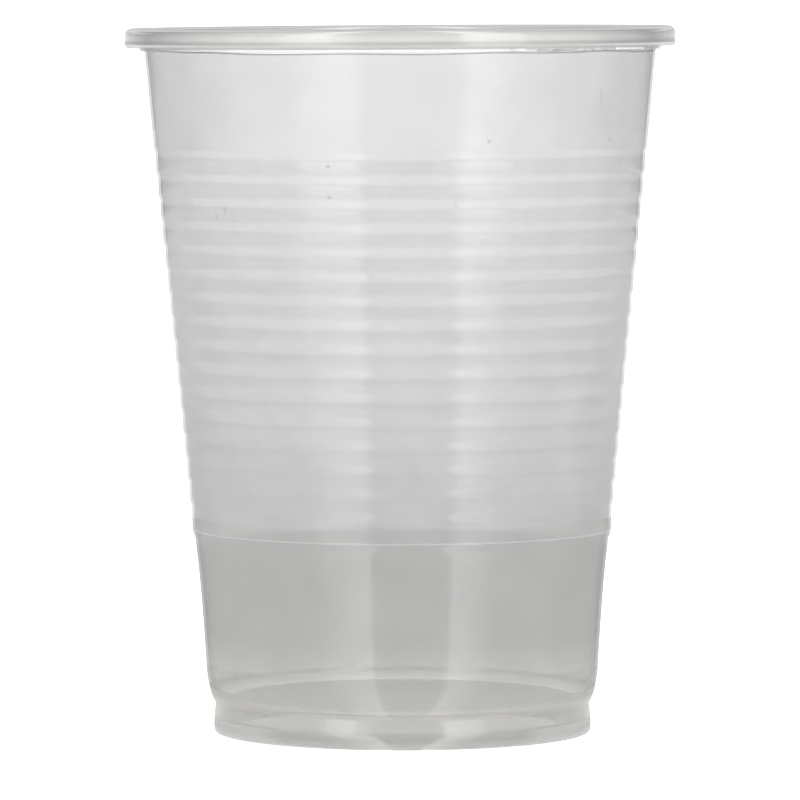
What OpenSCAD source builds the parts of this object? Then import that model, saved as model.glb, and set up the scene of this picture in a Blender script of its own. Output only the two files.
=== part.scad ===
// A ribbed drinking cup, formed in one piece from a thin sheet of clear plastic.
// The sheet starts at the middle of the floor, goes down and round under the hollow foot,
// up the smooth lower wall, past the stacking ledge and the ribs, and over the rolled rim,
// where its trimmed edge is tucked in beside the wall.
// Diameters are those of the outer face. The cup stands on z = 0, on the middle of its foot.

/* [Cup] */
// Height from the table to the top of the rim
cup_h = 91.2; // [75:0.2:120]
// Thickness of the sheet in the wall and the foot
wall_t = 0.3; // [0.2:0.05:0.4]

/* [Rim] */
// Outer diameter of the rolled rim
rim_d = 71; // [64:0.5:84]
// Width of the roll, from its outer face to the drinking side of the wall
rim_w = 2.6; // [2.4:0.1:3.4]
// Height of the roll
rim_h = 2.5; // [2.3:0.1:4]
// Thickness of the sheet in the roll
rim_t = 0.35; // [0.25:0.05:0.4]
// Radius of the roll's two top corners
rim_corner_r = 0.8; // [0.5:0.05:1.1]
// Radius of the roll's lower corner
rim_turn_r = 0.45; // [0.42:0.01:0.6]
// Height of the bead along the roll's lower edge
bead_h = 0.8; // [0.7:0.05:1]
// How far the bead stands out from the roll
bead_out = 0.06; // [0.02:0.01:0.15]
// How far the trimmed edge hangs below the roll
edge_drop = 0.4; // [0.2:0.05:0.8]
// Gap between the trimmed edge and the wall
edge_gap = 0.15; // [0.1:0.05:0.3]

/* [Neck] */
// Height from the ribs to the top of the rim
neck_h = 15.36; // [12:0.02:20]
// How far the neck narrows from the mouth to the ribs, on one side
neck_in = 1.35; // [1:0.05:2]
// Distance from the top of the rim down to where the neck starts to flare
flare_h = 7; // [6:0.1:9]
// How far the neck widens from there to the mouth, on one side
flare_in = 0.6; // [0.3:0.05:0.9]

/* [Ribs] */
// Number of ribs
rib_count = 16; // [10:1:18]
// Height of the slanted step above each rib
step_h = 1; // [0.8:0.1:1.4]
// How much each rib narrows towards its foot
rib_taper = 0.055; // [0.02:0.005:0.1]
// How far the face of a rib bulges
rib_bulge = 0.05; // [0.02:0.01:0.1]

/* [Lower wall] */
// Height of the plain band between the lowest rib and the ledge
band_h = 0.8; // [0.4:0.1:2]
// Height of the stacking ledge
ledge_h = 1.4; // [1:0.1:2]
// How far the wall steps in at the ledge
ledge_in = 0.38; // [0.2:0.02:0.6]
// Height of the ledge's lower edge above the table
ledge_z = 25; // [23:0.2:28]
// Height at which the lower wall starts to widen towards the ledge
sweep_z = 19.2; // [15:0.2:21]
// How far the ledge stands out from the foot, on one side
ledge_out = 2.7; // [2:0.05:4]
// How far the heel of the wall stands out from the foot, on one side
heel_out = 0.93; // [0.7:0.01:1.4]
// Height of the heel
heel_z = 8; // [7:0.1:10]
// Outward lean of the lower wall, for each millimetre of height
lower_draft = 0.055; // [0.03:0.005:0.08]

/* [Foot] */
// Widest diameter of the foot
foot_d = 48.86; // [44:0.02:56]
// Height of the foot's widest place
foot_z = 1.25; // [1:0.05:1.6]
// Width of the foot ring
foot_w = 1.75; // [1.4:0.05:3]
// Radius of the foot's two lower edges
foot_edge_r = 0.45; // [0.42:0.01:0.6]
// Depth of the groove above the foot
groove_in = 0.28; // [0.1:0.01:0.5]
// Height of the groove
groove_z = 3.8; // [3.4:0.05:4.2]
// How far the corner above the groove stands out from the foot, on one side
knee_out = 0.57; // [0.3:0.01:0.7]
// Height of that corner
knee_z = 4.7; // [4.4:0.05:5.4]

/* [Floor] */
// Height of the floor's underside above the table, at its rim
floor_z = 4.1; // [3:0.1:6]
// Thickness of the floor
floor_t = 0.45; // [0.3:0.05:0.6]
// How far the middle of the floor is domed upwards
floor_dome = 0.35; // [0:0.05:1]
// Radius of the bend from the floor down to the foot
floor_bend_r = 0.8; // [0.6:0.05:1.2]

/* [Hidden] */
$fn = 128;
sheet_color = [0.86, 0.87, 0.86, 0.55];
arc_n = 5;
sweep_n = 8;
step_n = 3;
land_n = 4;
floor_bend_start = 75;
bead_turn_start = -30;

// The foot and the lower wall are placed from the foot up, and the rim and the neck from the rim down.
// The ribs share what is left between them, in height and in width.
rim_r = rim_d / 2;
mouth_r = rim_r - rim_w;
rim_z = cup_h - rim_h;
neck_r = mouth_r + wall_t - neck_in;
neck_z = cup_h - neck_h;
foot_r = foot_d / 2;
foot_in_r = foot_r - foot_w;
groove_r = foot_r - groove_in;
ledge_r = foot_r + ledge_out;
rib_pitch = (neck_z - ledge_z - ledge_h - band_h) / rib_count;
rib_in = (neck_r - ledge_r) / rib_count;

// Points of an arc about a centre, from one angle to another
function arc(centre, r, from, to) =
    [for (i = [0:arc_n]) let(a = from + (to - from) * i / arc_n) centre + r * [cos(a), sin(a)]];

// Points of a curve that leaves p towards q and arrives at s from q
function curve(p, q, s, n) =
    [for (i = [0:n]) let(u = i / n) pow(1 - u, 2) * p + 2 * u * (1 - u) * q + u * u * s];

// Smooth step from 0 to 1
function ease(u) = u * u * (3 - 2 * u);

// Moves outer-face points in to the middle of the sheet
function middle(points, t) = [for (p = points) [p.x - t / 2, p.y]];

// Adds the sheet's thickness to each point
function sheet(points, t) = [for (p = points) [p.x, p.y, t]];

// Outer radius of the foot, which bulges below the groove
function foot_side(z) = foot_r - groove_in * pow((z - foot_z) / (groove_z - foot_z), 2);

// How far the face stands out a share u of the way down one rib, from the step above it to its foot
function rib_out(u) =
    let(s = step_h / rib_pitch, v = max(0, (u - s) / (1 - s)))
    (rib_taper - rib_in) * ease(min(1, u / s)) - rib_taper * v + rib_bulge * 4 * v * (1 - v);

// One rib from its foot up to the step above it, with k ribs above it
function rib(k) =
    let(s = step_h / rib_pitch,
        shares = concat([for (i = [land_n:-1:1]) s + (1 - s) * i / land_n],
                        [for (i = [step_n:-1:1]) s * i / step_n]))
    [for (u = shares) [neck_r - k * rib_in + rib_out(u), neck_z - (k + u) * rib_pitch]];

// The middle of the sheet, section by section
floor_line = let(z = floor_z + floor_t / 2, r = foot_in_r + wall_t / 2 - floor_bend_r)
    concat(
        [for (i = [0:arc_n]) [r * i / arc_n, z + floor_dome * (1 - pow(i / arc_n, 2))]],
        arc([r, z - floor_bend_r], floor_bend_r, floor_bend_start, 0));

foot_line = let(r = foot_edge_r - wall_t / 2, out = foot_side(foot_edge_r) - foot_edge_r)
    concat(
        arc([foot_in_r + foot_edge_r, foot_edge_r], r, 180, 270),
        arc([out, foot_edge_r], r, 270, 360),
        middle([for (i = [1:sweep_n])
            let(z = foot_edge_r + (groove_z - foot_edge_r) * i / sweep_n) [foot_side(z), z]], wall_t));

lower_line = let(
        heel = [foot_r + heel_out, heel_z],
        turn = [heel.x + lower_draft * (sweep_z - heel_z), sweep_z],
        ledge = [ledge_r - ledge_in, ledge_z],
        knee = curve([groove_r, groove_z], [foot_r + knee_out, knee_z], heel, sweep_n),
        sweep = curve(heel, turn, ledge, sweep_n),
        rise = [for (i = [1:arc_n]) ledge + [ledge_in * ease(i / arc_n), ledge_h * i / arc_n]])
    middle(concat([for (i = [1:sweep_n]) knee[i]], [for (i = [1:sweep_n]) sweep[i]], rise), wall_t);

rib_line = middle([for (k = [rib_count - 1:-1:0]) each rib(k)], wall_t);

neck_line = let(
        flare = [mouth_r + wall_t - flare_in, cup_h - flare_h],
        under = [mouth_r + wall_t, cup_h - rim_h / 2],
        turn = [flare.x + (neck_in - flare_in) * (flare_h / 2) / (neck_h - flare_h), cup_h - flare_h / 2])
    middle(concat([[neck_r, neck_z]], curve(flare, turn, under, sweep_n)), wall_t);

rim_line = let(
        top = cup_h - rim_corner_r,
        r = rim_corner_r - rim_t / 2,
        turn_r = rim_turn_r - rim_t / 2,
        bead_r = rim_r + bead_out - rim_turn_r,
        edge_r = mouth_r + wall_t + edge_gap + rim_t / 2)
    concat(
        arc([mouth_r + rim_corner_r, top], r, 180, 90),
        arc([rim_r - rim_corner_r, top], r, 90, 0),
        middle([[rim_r, rim_z + bead_h], [rim_r + bead_out, rim_z + rim_turn_r]], rim_t),
        arc([bead_r, rim_z + rim_turn_r], turn_r, bead_turn_start, -90),
        [[edge_r + 2 * turn_r, rim_z + rim_t / 2], [edge_r + turn_r / 2, rim_z], [edge_r, rim_z - edge_drop]]);

path = concat(
    sheet(floor_line, floor_t), sheet(foot_line, wall_t), sheet(lower_line, wall_t),
    sheet(rib_line, wall_t), sheet(neck_line, wall_t), sheet(rim_line, rim_t));

// Normal to the left of the stretch after point i. The sheet is level where it crosses the axis.
function normal(i) = i < 1 ? [0, 1] :
    let(a = path[i], b = path[i + 1], d = [b.x - a.x, b.y - a.y]) [-d.y, d.x] / norm(d);

// The face of the sheet on one side of its middle, mitred at each point
function face(s) =
    [for (i = [0:len(path) - 1])
        let(p = path[i], m = normal(i - 1), n = normal(min(i, len(path) - 2)))
        [p.x, p.y] + s * p.z / 2 * (m + n) / (1 + m * n)];

module cup() {
    drink_side = face(1);
    outer_side = face(-1);
    color(sheet_color)
        rotate_extrude()
            polygon(concat(outer_side, [for (i = [len(drink_side) - 1:-1:0]) drink_side[i]]));
}

cup();
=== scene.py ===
import math

import bpy
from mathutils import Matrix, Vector


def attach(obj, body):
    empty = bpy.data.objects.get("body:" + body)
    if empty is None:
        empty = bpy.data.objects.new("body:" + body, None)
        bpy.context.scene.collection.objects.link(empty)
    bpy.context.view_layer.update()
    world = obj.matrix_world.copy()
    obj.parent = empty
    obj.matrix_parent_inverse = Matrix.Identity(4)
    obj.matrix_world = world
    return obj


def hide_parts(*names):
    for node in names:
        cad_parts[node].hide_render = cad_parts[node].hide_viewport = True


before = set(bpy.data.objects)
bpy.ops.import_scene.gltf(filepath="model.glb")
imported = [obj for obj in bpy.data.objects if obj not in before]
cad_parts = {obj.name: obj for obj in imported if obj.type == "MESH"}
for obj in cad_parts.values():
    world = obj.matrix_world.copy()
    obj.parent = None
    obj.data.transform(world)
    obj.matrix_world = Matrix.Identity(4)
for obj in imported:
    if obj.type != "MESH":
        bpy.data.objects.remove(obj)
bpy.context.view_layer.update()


# The cup
# One thin sheet of milky polypropylene, formed in one piece: floor, hollow foot ring, smooth lower wall,
# stacking ledge, sixteen ribs, neck and rolled rim. It is drawn as the middle of the sheet, in metres,
# turned round the axis and given its thickness.
mm = 0.001
sheet_t = 0.3 * mm
cup_h = 91.2 * mm

rim_r = 35.5 * mm
rim_h = 2.5 * mm
mouth_r = 32.9 * mm
rim_corner = 0.8 * mm
rim_turn = 0.45 * mm
bead_h = 0.8 * mm
bead_out = 0.06 * mm
edge_drop = 0.4 * mm
edge_gap = 0.05 * mm

neck_r = 31.85 * mm
flare_r = 32.6 * mm
flare_h = 7 * mm

rib_count = 16
rib_pitch = 3.04 * mm
step_h = 1.0 * mm
step_in = 0.24 * mm
rib_taper = 0.055 * mm
rib_bulge = 0.012 * mm

band_h = 0.8 * mm
ledge_h = 1.4 * mm
ledge_in = 0.38 * mm
ledge_z = 25 * mm
sweep_z = 19.2 * mm
heel_r = 25.36 * mm
heel_z = 8 * mm
lower_draft = 0.055

foot_r = 24.43 * mm
foot_z = 1.25 * mm
foot_in_r = 22.68 * mm
foot_edge = 0.45 * mm
groove_r = 24.15 * mm
groove_z = 3.8 * mm
knee_r = 25 * mm
knee_z = 4.7 * mm

floor_z = 4.1 * mm
floor_dome = 0.35 * mm
floor_bend = 0.8 * mm

neck_z = ledge_z + ledge_h + band_h + rib_count * rib_pitch
ledge_r = neck_r - rib_count * (step_in + rib_taper)
rim_z = cup_h - rim_h
segments = 180


def arc(r, z, radius, start, end, steps=6):
    """Points of an arc about (r, z), from one angle to another in degrees."""
    angles = [math.radians(start + (end - start) * i / steps) for i in range(steps + 1)]
    return [(r + radius * math.cos(a), z + radius * math.sin(a)) for a in angles]


def curve(p, q, s, steps):
    """A smooth curve that leaves p towards q and arrives at s from q."""
    points = []
    for u in [i / steps for i in range(steps + 1)]:
        points.append(tuple((1 - u) ** 2 * a + 2 * u * (1 - u) * b + u * u * c for a, b, c in zip(p, q, s)))
    return points


def ease(u):
    """Smooth step from 0 to 1."""
    return u * u * (3 - 2 * u)


def foot_face(z):
    """Outer radius of the foot, which bulges below the groove."""
    return foot_r - (foot_r - groove_r) * ((z - foot_z) / (groove_z - foot_z)) ** 2


def rib(above):
    """One rib from its foot up to the step above it, as points of its outer face."""
    step = step_h / rib_pitch
    points = []
    for share in [1, 0.89, 0.78, 0.66, 0.55, 0.44, 0.33, 0.25, 0.17, 0.08]:
        land = max(0, (share - step) / (1 - step))
        r = neck_r - above * (step_in + rib_taper) - step_in * ease(min(1, share / step))
        r += rib_bulge * 4 * land * (1 - land) - rib_taper * land
        points.append((r, neck_z - (above + share) * rib_pitch))
    return points


def middle(points):
    """Moves outer-face points in to the middle of the sheet."""
    return [(r - sheet_t / 2, z) for r, z in points]


half = sheet_t / 2
bend_r = foot_in_r + half - floor_bend
floor_mid = floor_z + half
dome = [(bend_r * i / 8, floor_mid + floor_dome * (1 - (i / 8) ** 2)) for i in range(8)]
foot_out = foot_face(foot_edge) - foot_edge
foot_side = [(foot_face(z), z) for z in [foot_edge + (groove_z - foot_edge) * i / 8 for i in range(1, 9)]]
heel = (heel_r, heel_z)
turn = (heel_r + lower_draft * (sweep_z - heel_z), sweep_z)
ledge = (ledge_r - ledge_in, ledge_z)
rise = [(ledge[0] + ledge_in * ease(i / 6), ledge_z + ledge_h * i / 6) for i in range(1, 7)]
flare = (flare_r, cup_h - flare_h)
slope = (flare_r - neck_r) / (flare[1] - neck_z)
under = (mouth_r + sheet_t, cup_h - rim_h / 2)
edge_r = mouth_r + sheet_t + edge_gap + half
profile = (
    dome
    + arc(bend_r, floor_mid - floor_bend, floor_bend, 90, 0)
    + arc(foot_in_r + foot_edge, foot_edge, foot_edge - half, 180, 270)
    + arc(foot_out, foot_edge, foot_edge - half, 270, 360)
    + middle(foot_side)
    + middle(curve((groove_r, groove_z), (knee_r, knee_z), heel, 10)[1:])
    + middle(curve(heel, turn, ledge, 10)[1:])
    + middle(rise)
    + middle([point for above in range(rib_count - 1, -1, -1) for point in rib(above)])
    + middle([(neck_r, neck_z)])
    + middle(curve(flare, (flare_r + slope * flare_h / 2, cup_h - flare_h / 2), under, 10))
    + arc(mouth_r + rim_corner, cup_h - rim_corner, rim_corner - half, 180, 90)
    + arc(rim_r - rim_corner, cup_h - rim_corner, rim_corner - half, 90, 0)
    + middle([(rim_r, rim_z + bead_h), (rim_r + bead_out, rim_z + rim_turn)])
    + arc(rim_r + bead_out - rim_turn, rim_z + rim_turn, rim_turn - half, -20, -90)
    + [(edge_r + rim_turn, rim_z + half), (edge_r + rim_turn / 4, rim_z), (edge_r, rim_z - edge_drop)]
)

for other in list(bpy.context.selected_objects):
    other.select_set(False)
bpy.ops.mesh.primitive_plane_add(size=1 * mm, location=(0, 0, 0))
cup = bpy.context.object
cup.name = "cup_sheet"
bpy.ops.object.mode_set(mode="EDIT")
bpy.ops.mesh.select_all(action="SELECT")
bpy.ops.mesh.merge(type="CENTER")
bpy.ops.transform.translate(value=(0, 0, profile[0][1]))
last = profile[0]
for point in profile[1:]:
    bpy.ops.mesh.extrude_region_move(
        TRANSFORM_OT_translate={"value": (point[0] - last[0], 0, point[1] - last[1])})
    last = point
bpy.ops.mesh.select_all(action="SELECT")
bpy.ops.mesh.spin(steps=segments, angle=math.tau, center=(0, 0, 0), axis=(0, 0, 1))
bpy.ops.mesh.select_all(action="SELECT")
bpy.ops.mesh.remove_doubles(threshold=0.002 * mm)
bpy.ops.mesh.normals_make_consistent(inside=False)
bpy.ops.object.mode_set(mode="OBJECT")

lean = 0.0034
rim_tilt = 0.0058
for vertex in cup.data.vertices:
    share = vertex.co.z / cup_h
    vertex.co.z += rim_tilt * vertex.co.x * share ** 3
    vertex.co.x -= lean * vertex.co.z

wall = cup.modifiers.new("wall", "SOLIDIFY")
wall.thickness = sheet_t
wall.offset = 0
wall.use_even_offset = True
bpy.ops.object.modifier_apply(modifier="wall")
bpy.ops.object.shade_smooth_by_angle(angle=math.radians(50))

plastic = bpy.data.materials.new("milky_plastic")
plastic.use_nodes = True
nodes, links = plastic.node_tree.nodes, plastic.node_tree.links
shader = nodes["Principled BSDF"]
shader.inputs["Roughness"].default_value = 0.3
shader.inputs["Specular IOR Level"].default_value = 0


def maths(operation, *values):
    """A Math node whose inputs are sockets or plain numbers."""
    node = nodes.new("ShaderNodeMath")
    node.operation = operation
    for socket, value in zip(node.inputs, values):
        if isinstance(value, (int, float)):
            socket.default_value = value
        else:
            links.new(value, socket)
    return node.outputs[0]


def both(*masks):
    """The product of masks, levels or numbers."""
    result = masks[0]
    for mask in masks[1:]:
        result = maths("MULTIPLY", result, mask)
    return result


def between(value, low, high):
    """1 where the value lies between the two limits."""
    return both(maths("GREATER_THAN", value, low), maths("LESS_THAN", value, high))


def ridge(value, centre, half_width):
    """Rises from 0 to 1 at the centre and falls back to 0."""
    away = maths("ABSOLUTE", maths("SUBTRACT", value, centre))
    return maths("MAXIMUM", maths("SUBTRACT", 1, maths("DIVIDE", away, half_width)), 0)


def noise_texture(scale, detail, vector):
    node = nodes.new("ShaderNodeTexNoise")
    node.inputs["Scale"].default_value = scale
    node.inputs["Detail"].default_value = detail
    links.new(vector, node.inputs["Vector"])
    return node.outputs["Fac"]


def blend(factor, first, second):
    """Mixes two colours or plain greys."""
    node = nodes.new("ShaderNodeMix")
    node.data_type = "RGBA"
    links.new(factor, node.inputs["Factor"])
    for socket, value in zip((node.inputs["A"], node.inputs["B"]), (first, second)):
        if isinstance(value, (int, float)):
            socket.default_value = (value, value, value, 1)
        else:
            links.new(value, socket)
    return node.outputs["Result"]


# Where a point is: how far from the axis, on which face, and how high once the rim's tilt is taken away
coords = nodes.new("ShaderNodeTexCoord")
split = nodes.new("ShaderNodeSeparateXYZ")
links.new(coords.outputs["Object"], split.inputs[0])
x, y, z = split.outputs["X"], split.outputs["Y"], split.outputs["Z"]
reach = maths("SQRT", maths("ADD", maths("POWER", x, 2), maths("POWER", y, 2)))
outward = nodes.new("ShaderNodeVectorMath")
outward.operation = "DOT_PRODUCT"
links.new(coords.outputs["Normal"], outward.inputs[0])
links.new(coords.outputs["Object"], outward.inputs[1])
outside = maths("GREATER_THAN", outward.outputs["Value"], 0)
level_z = maths("SUBTRACT", z, both(x, maths("POWER", maths("DIVIDE", z, cup_h), 3), rim_tilt))
# Every ramp up the cup reads a height shifted by 1.9 mm between 9 and 60 mm, so that the top of the painted
# darker lower wall sits higher on outward faces and lower on inward ones.
band_shift = both(maths("MULTIPLY_ADD", outside, 2, -1), between(z, 9 * mm, 60 * mm), 1.9 * mm)
height = maths("DIVIDE", maths("SUBTRACT", level_z, band_shift), cup_h)


def by_height(name, stops):
    """A colour ramp up the cup, from (height in mm, grey or colour) stops."""
    ramp = nodes.new("ShaderNodeValToRGB")
    ramp.name = name
    while len(ramp.color_ramp.elements) < len(stops):
        ramp.color_ramp.elements.new(0.5)
    for element, (up, colour) in zip(ramp.color_ramp.elements, stops):
        element.position = up * mm / cup_h
        element.color = (*colour, 1) if isinstance(colour, tuple) else (colour, colour, colour, 1)
    links.new(height, ramp.inputs["Fac"])
    return ramp.outputs["Color"]


# The grey, the milkiness, the haze seen edge on and the tint of the sheet, from the foot up; the grey and the
# milkiness also hold painted light and shade
# Painted shade in the grey: a dark band low on the foot from 0.9 to 1.6 mm, a dark line on top of the bead
# from 89.4 to 89.6 mm
# and a darker top of the rim from 90.9 mm up. Painted light in the grey: the wall above the foot is lighter,
# fading out by 11.5 mm.
grey_and_painted_light = by_height("grey_and_painted_light", [
    (0, 0.8), (0.5, 0.8), (0.9, 0.5), (1.6, 0.55), (2.2, 0.79), (4.4, 0.75), (4.7, 0.74), (5.1, 0.6),
    (8, 0.48), (11.5, 0.385), (25.6, 0.385), (26.3, 0.31), (45, 0.28), (75, 0.28), (88.1, 0.285),
    (88.65, 0.6), (88.86, 0.62), (89.05, 0.88), (89.2, 1.0), (89.3, 1.0), (89.42, 0.66), (89.6, 0.66),
    (89.75, 0.96), (90.3, 0.98), (90.6, 0.9), (90.9, 0.84), (91.05, 0.66), (91.12, 0.45), (91.19, 0.58)])
# The smooth lower wall below about 26 mm gets more milk over its grey, which makes it darker: painted shade
# for darker surroundings seen through it.
milk_and_painted_shade = by_height("milk_and_painted_shade", [
    (0, 0.4), (1.5, 0.35), (2.1, 0.26), (3.8, 0.26), (4.8, 0.38), (25.6, 0.40),
    (26.3, 0.28), (45, 0.21), (75, 0.155), (88.1, 0.135), (88.65, 0.08), (88.8, 0.5), (89.15, 0.55),
    (89.35, 0.7)])
edge_milk = by_height("edge_milk", [
    (25.9, 0), (26, 0.08), (50, 0.12), (65, 0.15), (80, 0.22), (cup_h / mm, 0.25)])
tint = by_height("tint", [
    (0, (1, 0.985, 0.945)), (25.6, (1, 0.987, 0.95)), (27, (1, 0.998, 0.975)), (cup_h / mm, (1, 1, 0.98))])

foot_top = 6 * mm
floor_part = both(maths("LESS_THAN", reach, foot_in_r - sheet_t), maths("LESS_THAN", z, foot_top))
# A painted highlight: a thin line along the ledge's fold, made lighter and a little milkier.
ledge_highlight = both(ridge(level_z, 26.35 * mm, 0.16 * mm), outside)
mottle = maths("MULTIPLY_ADD", noise_texture(150, 4, coords.outputs["Object"]), 0.35, 0.825)
edge_on = nodes.new("ShaderNodeLayerWeight")
edge_on.inputs["Blend"].default_value = 0.5
facing = edge_on.outputs["Facing"]

# The trimmed edge under the rim: wavy, clear at the front and torn on the right, with a notch near its end
trim_z = 88.2 * mm
trim_top = 88.68 * mm
torn_from = 12.6 * mm
torn_to = 19 * mm
ragged = maths("MULTIPLY_ADD", noise_texture(900, 1, coords.outputs["Object"]), 1.6, -0.5)
ragged_z = maths("MULTIPLY_ADD", ragged, 0.5 * mm, trim_z)
gap = both(between(x, 27 * mm, 30.8 * mm), maths("GREATER_THAN", level_z, ragged_z))
clear_front = maths("MINIMUM", maths("MAXIMUM", maths("MULTIPLY_ADD", facing, -2.2, 1.4), gap), 0.89)
rise_left = maths("MULTIPLY", maths("MAXIMUM", maths("SUBTRACT", maths("MULTIPLY", x, -1), 20 * mm), 0), 0.03)
wave = maths("MULTIPLY_ADD", noise_texture(70, 0, coords.outputs["Object"]), 0.5 * mm, -0.25 * mm)
edge_z = maths("SUBTRACT", level_z, maths("ADD", rise_left, wave))
tucked_edge = both(maths("GREATER_THAN", edge_z, trim_z), maths("LESS_THAN", level_z, trim_top),
                   outside, clear_front)
line_start = maths("MINIMUM", maths("MAXIMUM", maths("MULTIPLY_ADD", x, 1 / (8 * mm), 4.3), 0.2), 1)
# A painted dark line of shade on the wall just under the trimmed edge, following its wave and weaker at the
# far left.
edge_shade_line = both(ridge(edge_z, trim_z - 0.12 * mm, 0.14 * mm), outside, line_start)
right_side = maths("GREATER_THAN", x, torn_from)
torn = nodes.new("ShaderNodeMapRange")
torn.inputs["From Min"].default_value = torn_from
torn.inputs["From Max"].default_value = torn_to
torn.inputs["To Min"].default_value = 0.2
torn.inputs["To Max"].default_value = 0.6
links.new(x, torn.inputs["Value"])
notch = maths("SUBTRACT", 1, gap)

# Small marks: a scratch and a few specks on the wall, and a ring of short bars inside the floor's corner that
# also carries a painted highlight
bar_count = 96
bar_z = 5.5 * mm
cells = nodes.new("ShaderNodeTexVoronoi")
cells.inputs["Scale"].default_value = 140
links.new(coords.outputs["Object"], cells.inputs["Vector"])
cell_pick = nodes.new("ShaderNodeSeparateXYZ")
links.new(cells.outputs["Color"], cell_pick.inputs[0])
scratch = both(ridge(x, 25.1 * mm, 0.1 * mm), between(z, 80.8 * mm, 83.8 * mm), maths("LESS_THAN", y, 0),
               outside)
speck = both(maths("LESS_THAN", cells.outputs["Distance"], 0.03),
             maths("GREATER_THAN", cell_pick.outputs["X"], 0.6), between(z, 30 * mm, 88 * mm))
bars = maths("GREATER_THAN", maths("SINE", maths("MULTIPLY", maths("ARCTAN2", y, x), bar_count)), -0.2)
# The bars and the thin line they sit on are made white, milkier and glossier: marks, and a painted highlight
# along that corner.
inner_line = both(ridge(level_z, bar_z, 0.4 * mm), maths("SUBTRACT", 1, outside))
bars_and_highlight = both(inner_line, maths("MULTIPLY_ADD", bars, 0.8, 0.2))

# The colour: the grey with its tint; painted light makes the floor inside the foot white, painted highlights
# light the bars and the ledge, and the specks, the scratch and a painted shade line under the trimmed edge
# are darker
tinted = nodes.new("ShaderNodeMix")
tinted.data_type = "RGBA"
tinted.blend_type = "MULTIPLY"
tinted.inputs["Factor"].default_value = 1
# Painted light: the floor inside the foot is made white.
links.new(blend(maths("MAXIMUM", floor_part, bars_and_highlight), grey_and_painted_light, 1.0), tinted.inputs["A"])
links.new(tint, tinted.inputs["B"])
lined = blend(maths("MULTIPLY", ledge_highlight, 0.4), tinted.outputs["Result"], 1.0)
# Darker: the specks and the scratch, and the painted shade line under the trimmed edge.
marks_and_edge_shade = maths("MAXIMUM", maths("MAXIMUM", both(speck, 0.7), edge_shade_line), both(scratch, 0.3))
links.new(blend(marks_and_edge_shade, lined, 0.12), shader.inputs["Base Color"])

# How much the sheet hides: its milkiness, and the haze of a sheet that is seen edge on
upper = maths("GREATER_THAN", height, 26 * mm / cup_h)
foot_part = maths("LESS_THAN", level_z, foot_top)
edge_haze = both(maths("POWER", facing, 2), edge_milk)
edge_haze = maths("ADD", edge_haze, both(maths("POWER", facing, 8), maths("SUBTRACT", 1, upper), 0.5))
edge_haze = maths("ADD", edge_haze, both(maths("POWER", facing, 4), foot_part, 0.7))
haze = maths("MULTIPLY_ADD", milk_and_painted_shade, mottle, edge_haze)
haze = maths("ADD", haze, maths("MULTIPLY", ledge_highlight, 0.08))
haze = maths("MULTIPLY", haze, maths("SUBTRACT", 1, tucked_edge))
torn_edge = both(tucked_edge, right_side, maths("MAXIMUM", ragged, 0), torn.outputs["Result"], notch)
haze = maths("ADD", haze, torn_edge)
haze = maths("ADD", haze, maths("MULTIPLY", marks_and_edge_shade, 0.35))
links.new(maths("MULTIPLY_ADD", bars_and_highlight, 0.2, blend(floor_part, haze, 0.88)), shader.inputs["Alpha"])

# The skin: a soft gloss on a slightly uneven face, stronger where the rim and the foot turn away
orange_peel = nodes.new("ShaderNodeBump")
orange_peel.inputs["Strength"].default_value = 0.08
orange_peel.inputs["Distance"].default_value = 0.05 * mm
links.new(noise_texture(320, 2, coords.outputs["Object"]), orange_peel.inputs["Height"])
gloss = nodes.new("ShaderNodeBsdfGlossy")
gloss.inputs["Roughness"].default_value = 0.13
links.new(orange_peel.outputs["Normal"], gloss.inputs["Normal"])
polish = by_height("polish", [
    (0, 0.07), (0.8, 0.18), (1.7, 0.18), (2.1, 0.055), (4.3, 0.055), (4.8, 0.1), (90.2, 0.1), (90.5, 0.2),
    (90.9, 0.2), (91.1, 0.12)])
edge_sheen = by_height("edge_sheen", [(26, 0), (26.1, 1), (60, 0.9), (68, 0.3), (76, 0)])
sheen = maths("ADD", both(maths("POWER", facing, 9), edge_sheen), polish)
rim_side = between(level_z, 89.2 * mm, 90.9 * mm)
rim_gloss = both(ridge(facing, 0.6, 0.42), 0.66)
foot_gloss = both(maths("LESS_THAN", level_z, 2 * mm),
                  maths("MINIMUM", maths("MAXIMUM", maths("MULTIPLY_ADD", facing, 8, -1.8), 0), 1))
skin = nodes.new("ShaderNodeMixShader")
seen_side = maths("SUBTRACT", maths("MULTIPLY_ADD", outside, 0.8, 0.2), tucked_edge)
floor_shine = both(floor_part, maths("POWER", facing, 3), 0.16)
skin_share = maths("ADD", both(sheen, seen_side), maths("MULTIPLY_ADD", bars_and_highlight, 0.35, floor_shine))
skin_share = maths("ADD", skin_share, maths("MULTIPLY_ADD", foot_gloss, 0.3, both(rim_gloss, rim_side)))
links.new(skin_share, skin.inputs["Fac"])
links.new(shader.outputs[0], skin.inputs[1])
links.new(gloss.outputs[0], skin.inputs[2])
links.new(skin.outputs[0], nodes["Material Output"].inputs["Surface"])
cup.data.materials.append(plastic)
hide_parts("cup")
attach(cup, "root")


# The floor
# A plain pale sheet under and behind the cup. It shows white where nothing shades it. To gloss rays alone it
# glows instead,
# with a painted reflection of the room: streaks for the two tall lamps at the front, a brighter patch round
# the cup and the pale end behind.
floor_half = 60
floor_rgb = (0.9, 0.9, 0.9, 1)
bpy.ops.object.select_all(action="DESELECT")
bpy.ops.mesh.primitive_plane_add(size=2 * floor_half, location=(0, 0, 0))
ground = bpy.context.object
ground.name = "pale_floor"
pale = bpy.data.materials.new("pale_floor")
pale.use_nodes = True
nodes, links = pale.node_tree.nodes, pale.node_tree.links
matt = nodes["Principled BSDF"]
matt.inputs["Base Color"].default_value = floor_rgb
matt.inputs["Roughness"].default_value = 0.9
matt.inputs["Specular IOR Level"].default_value = 0


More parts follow.
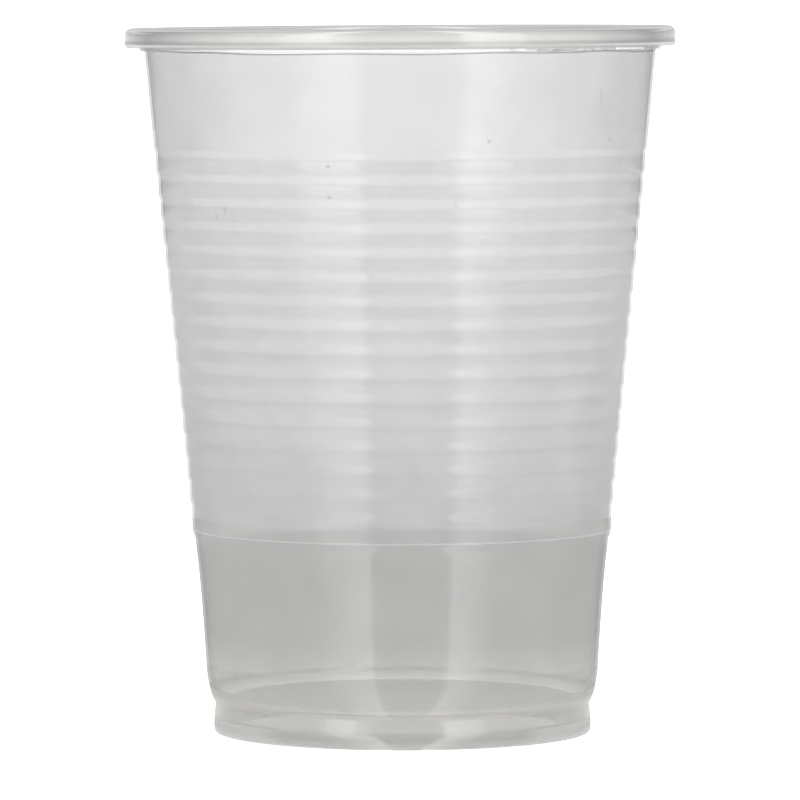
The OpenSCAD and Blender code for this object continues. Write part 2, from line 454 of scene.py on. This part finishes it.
def two_streaks(x, y, left_edge, right_edge):
    """The two tall lamps at the front as the gloss sees them: sharp on the inner side, soft on the outer."""
    bearing = maths("DIVIDE", x, maths("ABSOLUTE", y))
    left = maths("MAXIMUM", maths("ADD", bearing, 1 - left_edge), 0)
    right = maths("MAXIMUM", maths("SUBTRACT", 1 + right_edge, bearing), 0)
    left = both(left, maths("LESS_THAN", bearing, left_edge))
    right = both(right, maths("GREATER_THAN", bearing, right_edge))
    return both(maths("ADD", left, right), maths("LESS_THAN", y, 0))


# The painted glow that only gloss rays see on the floor, by the distance from the cup in metres and the side
# that it lies on
rays = nodes.new("ShaderNodeLightPath")
spot = nodes.new("ShaderNodeTexCoord")
across = nodes.new("ShaderNodeSeparateXYZ")
links.new(spot.outputs["Object"], across.inputs[0])
across_x, across_y = across.outputs["X"], across.outputs["Y"]
far = maths("SQRT", maths("ADD", maths("POWER", across_x, 2), maths("POWER", across_y, 2)))
near = nodes.new("ShaderNodeMapRange")
near.inputs["From Min"].default_value = 0.5
near.inputs["From Max"].default_value = 0.38
near.inputs["To Min"].default_value = 0.35
near.inputs["To Max"].default_value = 0.85
links.new(far, near.inputs["Value"])
back = nodes.new("ShaderNodeMapRange")
back.inputs["From Min"].default_value = 0.2
back.inputs["From Max"].default_value = 0.9
links.new(maths("DIVIDE", across_y, far), back.inputs["Value"])
streak = two_streaks(across_x, maths("ADD", across_y, 0.02), -0.34, 0.58)
streak_level = nodes.new("ShaderNodeMapRange")
streak_level.inputs["From Min"].default_value = 0.15
streak_level.inputs["From Max"].default_value = 0.21
streak_level.inputs["To Min"].default_value = 0.8
streak_level.inputs["To Max"].default_value = 0.45
links.new(far, streak_level.inputs["Value"])
front = maths("ADD", both(streak, streak_level.outputs["Result"]), near.outputs["Result"])
painted_gloss_glow = maths("MAXIMUM", front, both(back.outputs["Result"], maths("LESS_THAN", far, 1.42)))
glow = nodes.new("ShaderNodeEmission")
links.new(painted_gloss_glow, glow.inputs["Strength"])
matt.inputs["Emission Color"].default_value = (1, 1, 1, 1)
seen = maths("MAXIMUM", rays.outputs["Is Camera Ray"], rays.outputs["Is Transmission Ray"])
links.new(maths("MULTIPLY", seen, 0.52), matt.inputs["Emission Strength"])
sheet = nodes.new("ShaderNodeMixShader")
links.new(rays.outputs["Is Glossy Ray"], sheet.inputs["Fac"])
links.new(matt.outputs[0], sheet.inputs[1])
links.new(glow.outputs[0], sheet.inputs[2])
links.new(sheet.outputs[0], nodes["Material Output"].inputs["Surface"])
ground.data.materials.append(pale)


# The light
# Two tall soft boxes at the front, one on each side, and an even pale room.
# The gloss sees the same two lamps in the room, a light wall behind the cup and darker ones beside it.
world = bpy.data.worlds.new("pale_room")
bpy.context.scene.world = world
world.use_nodes = True
nodes, links = world.node_tree.nodes, world.node_tree.links
sky = nodes["Background"]
sky.inputs["Color"].default_value = (1, 1, 1, 1)
rays = nodes.new("ShaderNodeLightPath")
look = nodes.new("ShaderNodeTexCoord")
parts = nodes.new("ShaderNodeSeparateXYZ")
links.new(look.outputs["Generated"], parts.inputs[0])
behind = nodes.new("ShaderNodeMapRange")
behind.inputs["From Min"].default_value = 0.6
behind.inputs["From Max"].default_value = 0.9
behind.inputs["To Min"].default_value = 0.35
behind.inputs["To Max"].default_value = 1.0
links.new(parts.outputs["Y"], behind.inputs["Value"])
streak = two_streaks(parts.outputs["X"], parts.outputs["Y"], -0.55, 0.5)
up = parts.outputs["Z"]
above = both(maths("GREATER_THAN", up, 0.15), ridge(up, 0.15, 0.2))
above = maths("MAXIMUM", above, 0.35)
streak = both(streak, maths("MULTIPLY_ADD", maths("GREATER_THAN", up, 0.7), 1.6, 1.2))
room = maths("ADD", streak, maths("MINIMUM", behind.outputs["Result"], above))
strength = nodes.new("ShaderNodeMix")
strength.inputs["A"].default_value = 1.0
links.new(rays.outputs["Is Glossy Ray"], strength.inputs["Factor"])
links.new(room, strength.inputs["B"])
links.new(strength.outputs["Result"], sky.inputs["Strength"])


def soft_box(name, azimuth, distance, width, height, centre_z, power):
    a = math.radians(azimuth)
    place = Vector((distance * math.sin(a), -distance * math.cos(a), centre_z))
    lamp = bpy.data.lights.new(name, "AREA")
    lamp.shape = "RECTANGLE"
    lamp.size = width
    lamp.size_y = height
    lamp.energy = power
    box = bpy.data.objects.new(name, lamp)
    bpy.context.scene.collection.objects.link(box)
    box.location = place
    box.rotation_euler = (Vector((0, 0, 0.045)) - place).to_track_quat("-Z", "Y").to_euler()
    box.visible_camera = False
    return box


soft_box("left_box", -34, 1.0, 0.5, 0.6, 0.15, 0.62)
soft_box("right_box", 38, 1.0, 0.5, 0.6, 0.15, 0.62)

bpy.context.scene.view_settings.view_transform = "Standard"


# The camera
# A long lens about nine tenths of a metre away, just above the level of the rim.
# It looks down a little, so that the rim, the ledge and the foot open as flat ellipses.
picture_px = 800
lens_px = 7000
px_per_mm = 7.72
aim_x = -0.32 * mm
aim_z = 42.94 * mm
pitch = 3.52
distance = lens_px / px_per_mm * mm
camera_data = bpy.data.cameras.new("camera")
camera_data.sensor_width = 36
camera_data.lens = 36 * lens_px / picture_px
camera = bpy.data.objects.new("camera", camera_data)
bpy.context.scene.collection.objects.link(camera)
tilt = math.radians(pitch)
camera.location = (aim_x, -distance * math.cos(tilt), aim_z + distance * math.sin(tilt))
camera.rotation_euler = (math.radians(90) - tilt, 0, 0)
bpy.context.scene.camera = camera
